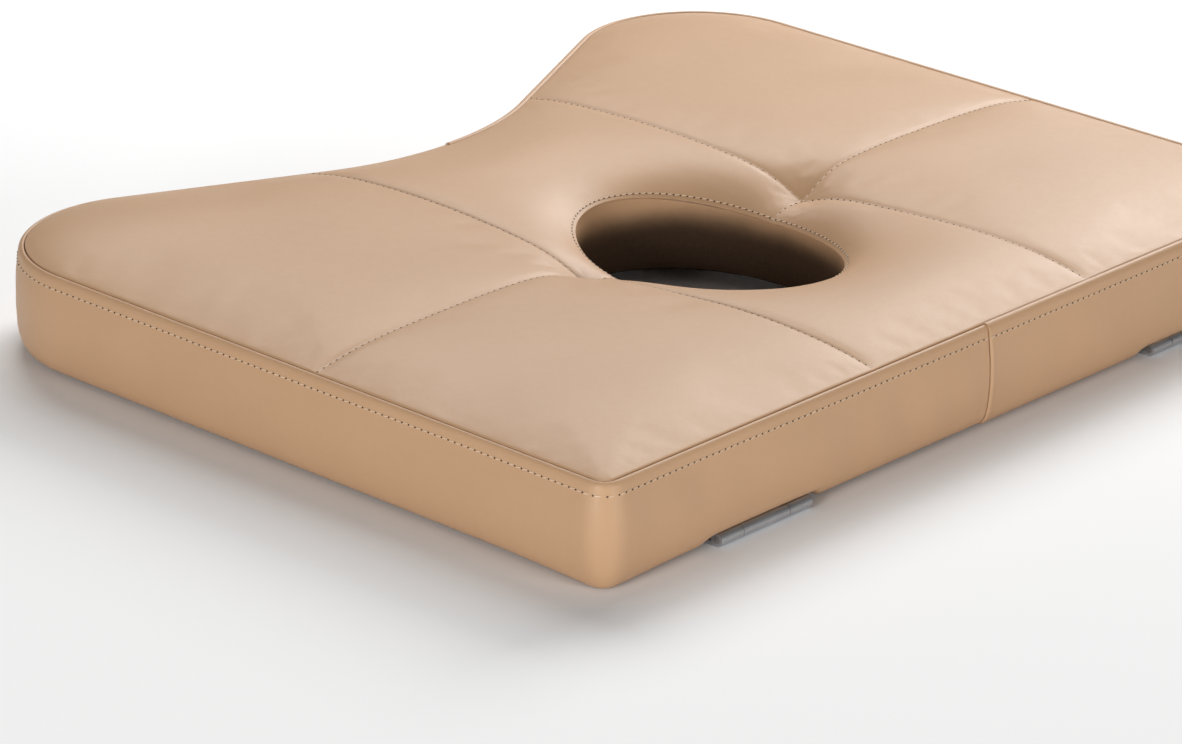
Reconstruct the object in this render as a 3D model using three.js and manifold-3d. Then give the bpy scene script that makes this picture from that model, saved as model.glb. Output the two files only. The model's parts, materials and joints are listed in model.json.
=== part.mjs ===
// Head section cushion of a treatment bed, with a face hole. Millimetres, +Z up.
// X runs across the bed and +Y towards the head end. z = 0 is the deck that the section rests on.
import * as THREE from "three";
import { mergeVertices } from "three/addons/utils/BufferGeometryUtils.js";
import Module from "manifold-3d";

const wasm = await Module();
wasm.setup();

// ---- Driving dimensions -------------------------------------------------------------------------------------------
const WIDTH = 760; // between the side seams
const SIDE_LENGTH = 516; // straight side, from the rear seam to the start of the ear
const EAR_RADIUS = 92; // outer corner of each ear lobe
const NOTCH_SLOPE = 25.5; // degrees, how steeply the ear falls towards the notch
const NOTCH_SOFT_X = 105; // half width over which the bottom of the notch is rounded
const NOTCH_TURN_X = 56; // where the slopes would meet the level of the bottom
const CORNER_RADIUS = 9; // rear corners, at the seam

const HOLE_WIDTH = 163; // face hole at its rim
const HOLE_LENGTH = 212;
const HOLE_Y = 250; // centre of the face hole, from the rear seam
const QUILT_X = 115; // the two stitch lines that run from the rear edge to the notch
const QUILT_CROSS_Y = 262; // the stitch line across, from the rear seam

const LIP_HEIGHT = 3; // bottom of the soft roll above the deck
const BOXING_HEIGHT = 74; // side band, from the bottom of the roll to the top seam
const BOXING_BULGE = 4; // how far the side band stands out at its middle
const BULGE_TOP = 0.35; // the bulge's flat part, as shares of the band's height down from the seam
const BULGE_BOTTOM = 0.7;
const ROLL_INSET = 4; // lowest line of the soft roll, inside the seam
const ROLL_RISE = 3; // from that line up to either side of the roll
const ROLL_BACK = 9; // inner side of the roll, inside the seam
const ROLL_END = 15; // where the roll meets the board
const FOAM_LIFT = 2; // foam in the roll, above its cover
const CROWN = 9.7; // rise of the top above the perimeter seam
const CROWN_REACH = 38; // distance over which the crown rises
const RIM_DIP = 17.5; // the rim at the sides of the face hole, below the perimeter seam
const RIM_DIP_ENDS = 8; // the rim at the front and the rear of the face hole
const DIP_REACH = 38; // distance over which the dip round the hole fades
const JUNCTION_DIP = 10; // extra dip where the stitch lines cross beside the hole
const JUNCTION_REACH = 26;

const COVER = 1.5; // leatherette
const RETURN_WIDTH = 34; // cover turned in under the board
const SLEEVE_FLANGE = 20; // sleeve turned out under the board
const WADDING = 5;
const TOPPER_DEPTH = 31; // joint between the two foams, below the perimeter seam
const FOAM_INSET = 2.2; // foam, inside the top seam
const BOARD = 15;
const BOARD_INSET = 9;
const DUST_COVER = 0.5;
const DUST_INSET = 24;
const DUST_HOLE_MARGIN = 4; // dust cover, outside the face hole
const GAP = 0.3; // between touching pieces
const PAST = 1; // cuts run this far past a face

const LEAF = 3; // hinge leaf thickness
const LEAF_DEPTH = 44;
const HINGE_WIDTH = 90;
const HINGE_X = 230;
const AXIS_Y = -3; // hinge axis, from the rear seam
const BARREL_RADIUS = 4.95;
const PIN_RADIUS = 2.5;
const PIN_CLEARANCE = 0.12;
const KNUCKLE = 22; // length of each outer knuckle
const KNUCKLE_CLEARANCE = 0.4; // between knuckles, along the pin
const BARREL_CLEARANCE = 0.6; // between a leaf and the other leaf's knuckles
const HINGE_MARGIN = 2; // room round a hinge in the soft roll
const BOLT_PITCH = 30;
const BOLT_ROW = 22; // outer bolts, from the hinge axis
const BOLT_MIDDLE = 34.3; // middle bolt, from the hinge axis
const BOLT_RADIUS = 3;
const BOLT_HEAD_RADIUS = 5.6;
const BOLT_LENGTH = 20;
const DECK_HOLE_RADIUS = 3.3;
const NUT_RADIUS = 4.4;
const NUT_FLANGE_RADIUS = 9;
const NUT_FLANGE = 1.2;
const NUT_LENGTH = 10;

const PAD_RADIUS = 14;
const PAD_INSET_X = 70; // pads, in from the side seams
const PAD_REAR_Y = 130;
const PAD_FRONT_BACK = 16; // front pads, behind the start of the ears
const SCREW_RADIUS = 2;
const SCREW_HEAD_RADIUS = 4;
const SCREW_HEAD = 2.6;
const SCREW_SEAT_Z = 4.5; // where the screw's head bears on the pad
const SCREW_LENGTH = 14;
const SCREW_POINT = 3;
const PAD_CHAMFER = 1;

// ---- Heights and places worked out from them ------------------------------------------------------------------------
const SEAM_Z = LIP_HEIGHT + BOXING_HEIGHT;
const UNDER_LEAF_Z = 2 * BARREL_RADIUS; // top of the folded hinge
const DUST_Z = UNDER_LEAF_Z + GAP;
const RETURN_Z = DUST_Z + DUST_COVER + GAP;
const BOARD_Z = RETURN_Z + COVER + GAP;
const NUT_TOP_Z = BOARD_Z + BOARD + GAP + NUT_FLANGE;
const CORE_Z = NUT_TOP_Z + GAP;
const AXIS_Z = BARREL_RADIUS;
const TOPPER_BOTTOM = SEAM_Z - TOPPER_DEPTH;
const SCREW_TIP_Z = SCREW_SEAT_Z + SCREW_LENGTH;
const EAR_X = WIDTH / 2 - EAR_RADIUS;
const EAR_TOP_Y = SIDE_LENGTH + EAR_RADIUS;
const MIDDLE_Y = (EAR_TOP_Y + BOXING_BULGE + AXIS_Y - BARREL_RADIUS) / 2; // origin, from the rear seam

// ---- Outline of the top seam -------------------------------------------------------------------------------------
// Right half, moved outwards by a distance, from the rear centre round the ear to the notch centre.
function halfOutline(distance) {
  const path = new THREE.Path();
  const slope = THREE.MathUtils.degToRad(NOTCH_SLOPE);
  const side = WIDTH / 2 + distance;
  const corner = Math.max(CORNER_RADIUS + distance, 1);
  const fallX = EAR_X - EAR_RADIUS * Math.sin(slope);
  const fallY = SIDE_LENGTH + EAR_RADIUS * Math.cos(slope);
  const softX = NOTCH_SOFT_X - distance * Math.sin(slope);
  const kneeY = fallY - (fallX - NOTCH_SOFT_X) * Math.tan(slope);
  const softY = kneeY + distance * Math.cos(slope);
  const bottomY = kneeY - (NOTCH_SOFT_X - NOTCH_TURN_X) * Math.tan(slope) + distance;
  path.moveTo(0, -distance);
  path.lineTo(side - corner, -distance);
  path.absarc(side - corner, corner - distance, corner, -Math.PI / 2, 0, false);
  path.lineTo(side, SIDE_LENGTH);
  path.absarc(EAR_X, SIDE_LENGTH, EAR_RADIUS + distance, 0, Math.PI / 2 + slope, false);
  path.lineTo(softX, softY);
  path.quadraticCurveTo(softX - (softY - bottomY) / Math.tan(slope), bottomY, 0, bottomY);
  return path.getPoints(5).filter((p, i, all) => i === 0 || p.distanceTo(all[i - 1]) > 0.01);
}

// The whole outline, counter-clockwise, about the part's origin.
function outline(distance) {
  const half = halfOutline(distance);
  const mirrored = half.slice(1, -1).reverse().map((p) => new THREE.Vector2(-p.x, p.y));
  return [...half, ...mirrored].map((p) => new THREE.Vector2(p.x, p.y - MIDDLE_Y));
}

const SEAM = outline(0);

function holeLoop(distance) {
  const turns = 36;
  return Array.from({ length: turns }, (unused, i) => {
    const angle = (2 * Math.PI * i) / turns;
    return new THREE.Vector2(
      (HOLE_WIDTH / 2 + distance) * Math.cos(angle),
      HOLE_Y - MIDDLE_Y + (HOLE_LENGTH / 2 + distance) * Math.sin(angle),
    );
  });
}

// ---- Shape of the padded top -------------------------------------------------------------------------------------
function distanceToLoop(x, y, loop) {
  const p = new THREE.Vector2(x, y);
  let best = Infinity;
  loop.forEach((a, i) => {
    const b = loop[(i + 1) % loop.length];
    const edge = b.clone().sub(a);
    const t = THREE.MathUtils.clamp(p.clone().sub(a).dot(edge) / edge.lengthSq(), 0, 1);
    best = Math.min(best, p.distanceTo(a.clone().addScaledVector(edge, t)));
  });
  return best;
}

function insideHole(x, y) {
  return (2 * x / HOLE_WIDTH) ** 2 + (2 * (y + MIDDLE_Y - HOLE_Y) / HOLE_LENGTH) ** 2 < 1;
}

function insideOutline(x, y) {
  let inside = false;
  SEAM.forEach((a, i) => {
    const b = SEAM[(i + 1) % SEAM.length];
    if (a.y > y !== b.y > y && x < a.x + ((y - a.y) * (b.x - a.x)) / (b.y - a.y)) inside = !inside;
  });
  return inside;
}

// Height of the padded top above the deck.
function topHeight(x, y) {
  const edge = insideOutline(x, y) ? distanceToLoop(x, y, SEAM) : 0;
  const rim = insideHole(x, y) ? 0 : distanceToLoop(x, y, holeLoop(0));
  const junction = Math.hypot(Math.abs(x) - QUILT_X, y + MIDDLE_Y - QUILT_CROSS_Y);
  const crown = CROWN * (1 - Math.exp(-edge / CROWN_REACH));
  const sideways = (x / HOLE_WIDTH) ** 2;
  const lengthways = ((y + MIDDLE_Y - HOLE_Y) / HOLE_LENGTH) ** 2;
  const share = sideways / (sideways + lengthways || 1);
  const dip = (CROWN + RIM_DIP_ENDS + (RIM_DIP - RIM_DIP_ENDS) * share) * Math.exp(-rim / DIP_REACH);
  const pull = JUNCTION_DIP * Math.exp(-((junction / JUNCTION_REACH) ** 2));
  return SEAM_Z + crown - dip - (rim > 0 ? pull : 0);
}

const GRID_MARGIN = 12; // padded shapes are made this far past the outline, then cut to it

// ---- Solids ----------------------------------------------------------------------------------------------------------
function solid(geometry) {
  const bare = geometry.clone();
  bare.deleteAttribute("normal");
  bare.deleteAttribute("uv");
  const merged = mergeVertices(bare, 1e-4);
  return new wasm.Manifold(
    new wasm.Mesh({
      numProp: 3,
      vertProperties: merged.attributes.position.array,
      triVerts: new Uint32Array(merged.index.array),
    }),
  );
}

function geometryOf(manifold) {
  const mesh = manifold.getMesh();
  const positions = new Float32Array(mesh.numVert * 3);
  for (let i = 0; i < mesh.numVert; i++) {
    positions.set(mesh.vertProperties.subarray(i * mesh.numProp, i * mesh.numProp + 3), i * 3);
  }
  const indexed = new THREE.BufferGeometry();
  indexed.setAttribute("position", new THREE.BufferAttribute(positions, 3));
  indexed.setIndex(new THREE.BufferAttribute(mesh.triVerts, 1));
  const geometry = indexed.toNonIndexed();
  geometry.computeVertexNormals();
  return geometry;
}

function prism(loop, z0, z1) {
  const shape = new THREE.Shape(loop);
  const geometry = new THREE.ExtrudeGeometry(shape, { depth: z1 - z0, bevelEnabled: false });
  return solid(geometry.translate(0, 0, z0));
}

function box(x0, x1, y0, y1, z0, z1) {
  const geometry = new THREE.BoxGeometry(x1 - x0, y1 - y0, z1 - z0);
  return solid(geometry.translate((x0 + x1) / 2, (y0 + y1) / 2, (z0 + z1) / 2));
}

// A wall round a loop, swept with a profile of [outward distance, height] points.
function ring(loopAt, profile) {
  const rows = profile.map(([distance, z]) => loopAt(distance).map((p) => [p.x, p.y, z]));
  const positions = [];
  rows.forEach((row, i) => {
    const next = rows[(i + 1) % rows.length];
    row.forEach((a, j) => {
      const k = (j + 1) % row.length;
      positions.push(...a, ...next[j], ...row[k]);
      positions.push(...row[k], ...next[j], ...next[k]);
    });
  });
  const geometry = new THREE.BufferGeometry();
  geometry.setAttribute("position", new THREE.Float32BufferAttribute(positions, 3));
  return solid(geometry);
}

// A sheet between two heights, on a regular grid over the whole outline.
function gridSolid(upper, lower) {
  const columns = 20;
  const rows = 16;
  const x0 = -WIDTH / 2 - GRID_MARGIN;
  const y0 = -MIDDLE_Y - GRID_MARGIN;
  const y1 = EAR_TOP_Y - MIDDLE_Y + GRID_MARGIN;
  const plane = new THREE.PlaneGeometry(2 * -x0, y1 - y0, columns, rows);
  plane.translate(0, (y0 + y1) / 2, 0);
  const top = plane.clone();
  const bottom = plane.clone();
  const edge = [];
  const at = plane.attributes.position;
  for (let i = 0; i < at.count; i++) {
    top.attributes.position.setZ(i, upper(at.getX(i), at.getY(i)));
    bottom.attributes.position.setZ(i, lower(at.getX(i), at.getY(i)));
  }
  for (let i = 0; i < columns; i++) edge.push(i);
  for (let j = 0; j < rows; j++) edge.push(columns + j * (columns + 1));
  for (let i = columns; i > 0; i--) edge.push(rows * (columns + 1) + i);
  for (let j = rows; j > 0; j--) edge.push(j * (columns + 1));
  const positions = [];
  const corner = (surface, i) => positions.push(
    surface.attributes.position.getX(i), surface.attributes.position.getY(i), surface.attributes.position.getZ(i));
  const index = plane.index.array;
  for (let i = 0; i < index.length; i += 3) {
    [0, 1, 2].forEach((k) => corner(top, index[i + k]));
    [0, 2, 1].forEach((k) => corner(bottom, index[i + k]));
  }
  edge.forEach((a, i) => {
    const b = edge[(i + 1) % edge.length];
    corner(top, a);
    corner(top, b);
    corner(bottom, a);
    corner(top, b);
    corner(bottom, b);
    corner(bottom, a);
  });
  const geometry = new THREE.BufferGeometry();
  geometry.setAttribute("position", new THREE.Float32BufferAttribute(positions, 3));
  return solid(geometry);
}

function cylinder(x, y, radius, z0, z1, segments = 12) {
  const geometry = new THREE.CylinderGeometry(radius, radius, z1 - z0, segments);
  return solid(geometry.rotateX(Math.PI / 2).translate(x, y, (z0 + z1) / 2));
}

function turned(x, y, profile, segments = 12) {
  const points = profile.map(([radius, z]) => new THREE.Vector2(radius, z));
  const geometry = new THREE.LatheGeometry(points, segments);
  return solid(geometry.rotateX(Math.PI / 2).translate(x, y, 0));
}

function barrel(x0, x1, radius, segments = 24) {
  const geometry = new THREE.CylinderGeometry(radius, radius, x1 - x0, segments);
  geometry.rotateZ(Math.PI / 2);
  return solid(geometry.translate((x0 + x1) / 2, AXIS_Y - MIDDLE_Y, AXIS_Z));
}

// ---- Scene graph ----------------------------------------------------------------------------------------------------
const LEATHERETTE = { color: 0xc49a72, roughness: 0.5, metalness: 0 };
const FOAM_YELLOW = { color: 0xe8dcae, roughness: 0.95, metalness: 0 };
const FOAM_GREY = { color: 0xa9b0b5, roughness: 0.95, metalness: 0 };
const WADDING_WHITE = { color: 0xf2f0ea, roughness: 1, metalness: 0 };
const PLYWOOD = { color: 0xc8a878, roughness: 0.75, metalness: 0 };
const NON_WOVEN = { color: 0x26262a, roughness: 0.95, metalness: 0 };
const ZINC_STEEL = { color: 0xaeb1b5, roughness: 0.4, metalness: 1 };
const RUBBER = { color: 0x1c1c1e, roughness: 0.85, metalness: 0 };

const section = new THREE.Group();

function add(name, manifold, look) {
  const mesh = new THREE.Mesh(geometryOf(manifold), new THREE.MeshStandardMaterial(look));
  mesh.name = name;
  section.add(mesh);
}

const SIDES = [["left", -1], ["right", 1]];

function hingeBolts(sideSign) {
  return [-1, 0, 1].map((step) => [
    sideSign * HINGE_X + step * BOLT_PITCH,
    AXIS_Y - MIDDLE_Y + (step === 0 ? BOLT_MIDDLE : BOLT_ROW),
  ]);
}

const PADS = SIDES.flatMap(([side, sign]) => [
  [`${side}_rear`, sign * (WIDTH / 2 - PAD_INSET_X), PAD_REAR_Y - MIDDLE_Y],
  [`${side}_front`, sign * (WIDTH / 2 - PAD_INSET_X), SIDE_LENGTH - PAD_FRONT_BACK - MIDDLE_Y],
]);

// Holes for the leaf bolts, or the nuts that they turn into.
function boltHoles(radius, z0, z1) {
  return SIDES
    .flatMap(([side, sign]) => hingeBolts(sign))
    .map(([x, y]) => cylinder(x, y, radius, z0, z1))
    .reduce((joined, hole) => joined.add(hole));
}

function screwHoles(z0, z1) {
  return PADS
    .map(([name, x, y]) => cylinder(x, y, SCREW_RADIUS + GAP, z0, z1))
    .reduce((joined, hole) => joined.add(hole));
}

// Room in the soft roll for a hinge, which folds up into it.
function hingeRoom() {
  return SIDES
    .map(([side, sign]) => box(
      sign * HINGE_X - HINGE_WIDTH / 2 - HINGE_MARGIN, sign * HINGE_X + HINGE_WIDTH / 2 + HINGE_MARGIN,
      -MIDDLE_Y - BOXING_BULGE - PAST, AXIS_Y - MIDDLE_Y + LEAF_DEPTH + HINGE_MARGIN,
      -PAST, DUST_Z,
    ))
    .reduce((joined, room) => joined.add(room));
}

// One sheet, quilted to the wadding along straight stitch lines.
function addTopCover() {
  const sheet = gridSolid(topHeight, (x, y) => topHeight(x, y) - COVER)
    .intersect(prism(SEAM, 0, 2 * SEAM_Z))
    .subtract(prism(holeLoop(0), 0, 2 * SEAM_Z));
  add("top_cover", sheet, LEATHERETTE);
}

// The room that the top cover takes, with a gap below it.
function coverRoom() {
  return gridSolid(() => 2 * SEAM_Z, (x, y) => topHeight(x, y) - COVER - GAP);
}

// The side band: it bulges, rolls under the bottom edge and returns under the board.
function addBoxing() {
  const top = SEAM_Z - COVER - GAP;
  const bulgeTop = SEAM_Z - BULGE_TOP * BOXING_HEIGHT;
  const bulgeBottom = SEAM_Z - BULGE_BOTTOM * BOXING_HEIGHT;
  const outer = [
    [0, top],
    [BOXING_BULGE, bulgeTop],
    [BOXING_BULGE, bulgeBottom],
    [0, LIP_HEIGHT + ROLL_RISE],
    [-ROLL_INSET, LIP_HEIGHT],
    [-ROLL_BACK, LIP_HEIGHT + ROLL_RISE],
    [-ROLL_END, RETURN_Z],
    [-RETURN_WIDTH, RETURN_Z],
  ];
  const inner = [
    [-RETURN_WIDTH, RETURN_Z + COVER],
    [-ROLL_END - COVER / 3, RETURN_Z + COVER],
    [-ROLL_BACK + COVER / 3, LIP_HEIGHT + ROLL_RISE + COVER],
    [-ROLL_INSET, LIP_HEIGHT + COVER],
    [-COVER, LIP_HEIGHT + ROLL_RISE + COVER],
    [BOXING_BULGE - COVER, bulgeBottom],
    [BOXING_BULGE - COVER, bulgeTop],
    [-COVER, top],
  ];
  const band = ring(outline, [...outer, ...inner])
    .subtract(coverRoom())
    .subtract(hingeRoom())
    .subtract(boltHoles(BOLT_RADIUS + GAP, 0, BOARD_Z));
  SIDES.forEach(([side, sign]) => {
    const x0 = sign > 0 ? GAP / 2 : -WIDTH;
    const x1 = sign > 0 ? WIDTH : -GAP / 2;
    add(`boxing_${side}`, band.intersect(box(x0, x1, -WIDTH, WIDTH, -PAST, 2 * SEAM_Z)), LEATHERETTE);
  });
}

// The lining of the face hole: from under the rim down through the board, turned out beneath it.
function addSleeve() {
  const top = SEAM_Z + CROWN;
  const profile = [
    [COVER, top], [COVER, RETURN_Z + COVER], [SLEEVE_FLANGE, RETURN_Z + COVER], [SLEEVE_FLANGE, RETURN_Z],
    [0, RETURN_Z], [0, top],
  ];
  const besideBand = prism(outline(-RETURN_WIDTH - GAP), 0, 2 * SEAM_Z);
  const sleeve = ring(holeLoop, profile).intersect(besideBand).subtract(coverRoom());
  add("face_hole_sleeve", sleeve, LEATHERETTE);
}

function addPadding() {
  const skin = COVER + GAP;
  const hole = prism(holeLoop(COVER + GAP), 0, 2 * SEAM_Z);
  const inside = outline(-FOAM_INSET);
  const waddingTop = (x, y) => topHeight(x, y) - skin;
  const topperTop = (x, y) => topHeight(x, y) - skin - WADDING - GAP;
  const wadding = gridSolid(waddingTop, (x, y) => waddingTop(x, y) - WADDING);
  const topper = gridSolid(topperTop, () => TOPPER_BOTTOM + GAP);
  add("quilt_wadding", wadding.intersect(prism(inside, 0, 2 * SEAM_Z)).subtract(hole), WADDING_WHITE);
  add("soft_foam_topper", topper.intersect(prism(inside, 0, 2 * SEAM_Z)).subtract(hole), FOAM_YELLOW);
  add("firm_foam_core", prism(inside, CORE_Z, TOPPER_BOTTOM).subtract(hole), FOAM_GREY);
}

function addEdgeBand() {
  const board = -BOARD_INSET + GAP;
  const profile = [
    [board, CORE_Z - GAP], [-FOAM_INSET, CORE_Z - GAP], [-FOAM_INSET, RETURN_Z],
    [-ROLL_INSET, LIP_HEIGHT + COVER + FOAM_LIFT], [-ROLL_INSET - ROLL_RISE, LIP_HEIGHT + COVER + 2 * FOAM_LIFT],
    [board, RETURN_Z],
  ];
  add("edge_foam_band", ring(outline, profile).subtract(hingeRoom()), FOAM_GREY);
}

function addBoard() {
  const board = prism(outline(-BOARD_INSET), BOARD_Z, BOARD_Z + BOARD)
    .subtract(prism(holeLoop(COVER + GAP), 0, SEAM_Z))
    .subtract(boltHoles(NUT_RADIUS + GAP, BOARD_Z - PAST, BOARD_Z + BOARD + PAST))
    .subtract(screwHoles(0, SCREW_TIP_Z + GAP));
  const sheet = prism(outline(-DUST_INSET), DUST_Z, DUST_Z + DUST_COVER)
    .subtract(prism(holeLoop(DUST_HOLE_MARGIN), 0, SEAM_Z))
    .subtract(boltHoles(BOLT_RADIUS + GAP, 0, SEAM_Z))
    .subtract(screwHoles(0, SEAM_Z));
  add("baseboard", board, PLYWOOD);
  add("dust_cover", sheet, NON_WOVEN);
}

// A countersunk hole through a leaf, with its wide mouth downwards.
function countersink(x, y, z, radius) {
  const mouth = BOLT_HEAD_RADIUS + GAP;
  return turned(x, y, [
    [0, z - PAST], [mouth, z - PAST], [mouth, z], [radius, z + LEAF], [radius, z + LEAF + PAST], [0, z + LEAF + PAST],
  ]);
}

// One leaf of a hinge: a plate, its knuckles and room for the other leaf's knuckles.
function leaf(sign, plateZ, knuckles, rooms, holeRadius) {
  const middle = sign * HINGE_X;
  const axis = AXIS_Y - MIDDLE_Y;
  const bore = PIN_RADIUS + PIN_CLEARANCE;
  const along = ([a, b]) => [middle + a, middle + b];
  let made = box(middle - HINGE_WIDTH / 2, middle + HINGE_WIDTH / 2, axis, axis + LEAF_DEPTH, plateZ, plateZ + LEAF);
  rooms.forEach((span) => {
    const [x0, x1] = along(span);
    made = made.subtract(
      box(x0, x1, axis - PAST, axis + BARREL_RADIUS + BARREL_CLEARANCE, plateZ - PAST, plateZ + LEAF + PAST));
  });
  knuckles.forEach((span) => {
    const [x0, x1] = along(span);
    made = made.add(barrel(x0, x1, BARREL_RADIUS));
  });
  made = made.subtract(barrel(middle - HINGE_WIDTH, middle + HINGE_WIDTH, bore));
  hingeBolts(sign).forEach(([x, y]) => {
    made = made.subtract(countersink(x, y, plateZ, holeRadius));
  });
  return made;
}

function addHinges() {
  const end = HINGE_WIDTH / 2;
  const inner = end - KNUCKLE;
  const outerKnuckles = [[-end, -inner], [inner, end]];
  const short = inner - KNUCKLE_CLEARANCE;
  const middleKnuckle = [[-short, short]];
  const outerRooms = [[-end - PAST, -short], [short, end + PAST]];
  const middleRoom = [[-inner, inner]];
  SIDES.forEach(([side, sign]) => {
    const fixed = leaf(sign, 0, outerKnuckles, middleRoom, DECK_HOLE_RADIUS);
    const moving = leaf(sign, UNDER_LEAF_Z - LEAF, middleKnuckle, outerRooms, BOLT_RADIUS + GAP);
    const pin = barrel(sign * HINGE_X - end, sign * HINGE_X + end, PIN_RADIUS);
    add(`hinge_${side}_fixed_leaf`, fixed, ZINC_STEEL);
    add(`hinge_${side}_moving_leaf`, moving, ZINC_STEEL);
    add(`hinge_${side}_pin`, pin, ZINC_STEEL);
  });
}

function addLeafBolts() {
  const headZ = UNDER_LEAF_Z - LEAF;
  const boardTop = BOARD_Z + BOARD;
  const bolt = [
    [0, headZ], [BOLT_HEAD_RADIUS, headZ], [BOLT_RADIUS, headZ + LEAF], [BOLT_RADIUS, headZ + BOLT_LENGTH],
    [0, headZ + BOLT_LENGTH],
  ];
  const bore = BOLT_RADIUS + GAP;
  const nut = [
    [bore, boardTop - NUT_LENGTH], [NUT_RADIUS, boardTop - NUT_LENGTH], [NUT_RADIUS, boardTop + GAP],
    [NUT_FLANGE_RADIUS, boardTop + GAP], [NUT_FLANGE_RADIUS, NUT_TOP_Z], [bore, NUT_TOP_Z],
    [bore, boardTop - NUT_LENGTH],
  ];
  SIDES.forEach(([side, sign]) => {
    hingeBolts(sign).forEach(([x, y], i) => {
      add(`leaf_bolt_${side}_${i + 1}`, turned(x, y, bolt), ZINC_STEEL);
      add(`t_nut_${side}_${i + 1}`, turned(x, y, nut), ZINC_STEEL);
    });
  });
}

function addPads() {
  const top = DUST_Z - GAP;
  const bore = SCREW_RADIUS + GAP;
  const well = SCREW_HEAD_RADIUS + GAP;
  const headZ = SCREW_SEAT_Z - SCREW_HEAD;
  const pad = [
    [well, 0], [PAD_RADIUS - PAD_CHAMFER, 0], [PAD_RADIUS, PAD_CHAMFER], [PAD_RADIUS, top], [bore, top],
    [bore, SCREW_SEAT_Z],
    [well, SCREW_SEAT_Z], [well, 0],
  ];
  const screw = [
    [0, headZ], [SCREW_HEAD_RADIUS, headZ], [SCREW_HEAD_RADIUS, SCREW_SEAT_Z - GAP],
    [SCREW_RADIUS, SCREW_SEAT_Z - GAP], [SCREW_RADIUS, SCREW_TIP_Z - SCREW_POINT], [0, SCREW_TIP_Z],
  ];
  PADS.forEach(([name, x, y]) => {
    add(`rest_pad_${name}`, turned(x, y, pad), RUBBER);
    add(`pad_screw_${name}`, turned(x, y, screw), ZINC_STEEL);
  });
}

section.name = "head_section";
addTopCover();
addBoxing();
addSleeve();
addPadding();
addEdgeBand();
addBoard();
addHinges();
addLeafBolts();
addPads();

export default section;
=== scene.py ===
"""Looks of a treatment bed's head cushion: leatherette cover, quilting, stitches, padding and hardware.

Everything is in metres, in the frame of the packed part: +X across the bed, +Y towards the head end, +Z up.
"""
import json
import math

import bmesh
import bpy
import numpy as np
from bpy.props import FloatProperty, FloatVectorProperty, IntProperty, PointerProperty
from mathutils import Matrix, Vector
from mathutils.bvhtree import BVHTree


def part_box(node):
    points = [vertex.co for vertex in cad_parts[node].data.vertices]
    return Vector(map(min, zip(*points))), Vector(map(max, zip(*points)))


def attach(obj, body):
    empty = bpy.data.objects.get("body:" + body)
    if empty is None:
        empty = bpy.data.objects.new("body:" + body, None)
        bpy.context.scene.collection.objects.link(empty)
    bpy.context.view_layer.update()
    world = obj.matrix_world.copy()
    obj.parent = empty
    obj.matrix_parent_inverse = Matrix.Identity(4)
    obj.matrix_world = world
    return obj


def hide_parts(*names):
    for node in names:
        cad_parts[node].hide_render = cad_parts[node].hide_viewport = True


bl_info = {
    "name": "Head Cushion Upholstery",
    "version": (1, 0, 0),
    "blender": (4, 5, 0),
    "location": "View3D > Sidebar > Cushion",
    "description": "Covers, pads and stitches a treatment bed's head cushion round its frame",
    "category": "Object",
}

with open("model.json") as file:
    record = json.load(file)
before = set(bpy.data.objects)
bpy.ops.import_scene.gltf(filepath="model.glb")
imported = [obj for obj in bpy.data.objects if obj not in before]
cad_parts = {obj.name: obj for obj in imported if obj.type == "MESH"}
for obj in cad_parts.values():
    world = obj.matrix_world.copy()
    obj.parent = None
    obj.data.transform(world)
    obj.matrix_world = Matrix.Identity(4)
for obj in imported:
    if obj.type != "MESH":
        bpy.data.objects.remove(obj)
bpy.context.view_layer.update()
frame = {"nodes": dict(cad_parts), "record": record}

MM = 0.001
BODY = "head_section"
COVER_LOW, COVER_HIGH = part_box("top_cover")
BOXING_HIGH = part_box("boxing_left")[1]
SLEEVE_LOW, SLEEVE_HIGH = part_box("face_hole_sleeve")
CORE_LOW, CORE_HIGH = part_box("firm_foam_core")
TOPPER_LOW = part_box("soft_foam_topper")[0]
DUST_LOW, DUST_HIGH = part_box("dust_cover")
HINGE_LOW, HINGE_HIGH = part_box("hinge_right_fixed_leaf")

COVER = 1.5 * MM  # leatherette in the frame
GAP = 0.3 * MM  # between the frame's pieces
SLEEVE_FLANGE = 20 * MM
REAR_Y = COVER_LOW.y
SEAM_Z = BOXING_HIGH.z + COVER + GAP
HOLE_Y = (SLEEVE_LOW.y + SLEEVE_HIGH.y) / 2 - REAR_Y  # from the rear seam
EAR_RADIUS = 92 * MM
WAVES = 24  # sine waves in each field of unevenness


# ---- Sizes and colours that a user may change ----------------------------------------------------
def length(name, description, default):
    return FloatProperty(name=name, description=description, default=default, unit="LENGTH", precision=4)


def colour(name, description, default):
    return FloatVectorProperty(name=name, description=description, default=default, subtype="COLOR",
                               min=0, max=1)


class CushionOutline(bpy.types.PropertyGroup):
    """Plan of the top seam and of the face hole, from the rear seam."""

    width: length("Width", "Between the side seams", COVER_HIGH.x - COVER_LOW.x)
    side: length("Side", "Straight side, up to the ear", COVER_HIGH.y - REAR_Y - EAR_RADIUS)
    ear: length("Ear radius", "Outer corner of each ear", EAR_RADIUS)
    corner: length("Corner radius", "Rear corners", 9 * MM)
    slope: FloatProperty(name="Slope", description="Fall of the ear towards the notch",
                         default=math.radians(25.5), subtype="ANGLE")
    soft: length("Soft half width", "Half width of the rounded bottom of the notch", 105 * MM)
    turn: length("Turn", "Where the slopes would meet the level of the bottom", 56 * MM)
    hole_width: length("Hole width", "Face hole at its rim",
                       SLEEVE_HIGH.x - SLEEVE_LOW.x - 2 * SLEEVE_FLANGE)
    hole_length: length("Hole length", "Face hole at its rim",
                        SLEEVE_HIGH.y - SLEEVE_LOW.y - 2 * SLEEVE_FLANGE)
    quilt: length("Quilting", "Long stitch lines, from the centre line", 115 * MM)
    cross: length("Cross line", "Stitch line across, from the rear seam", 262 * MM)


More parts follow.
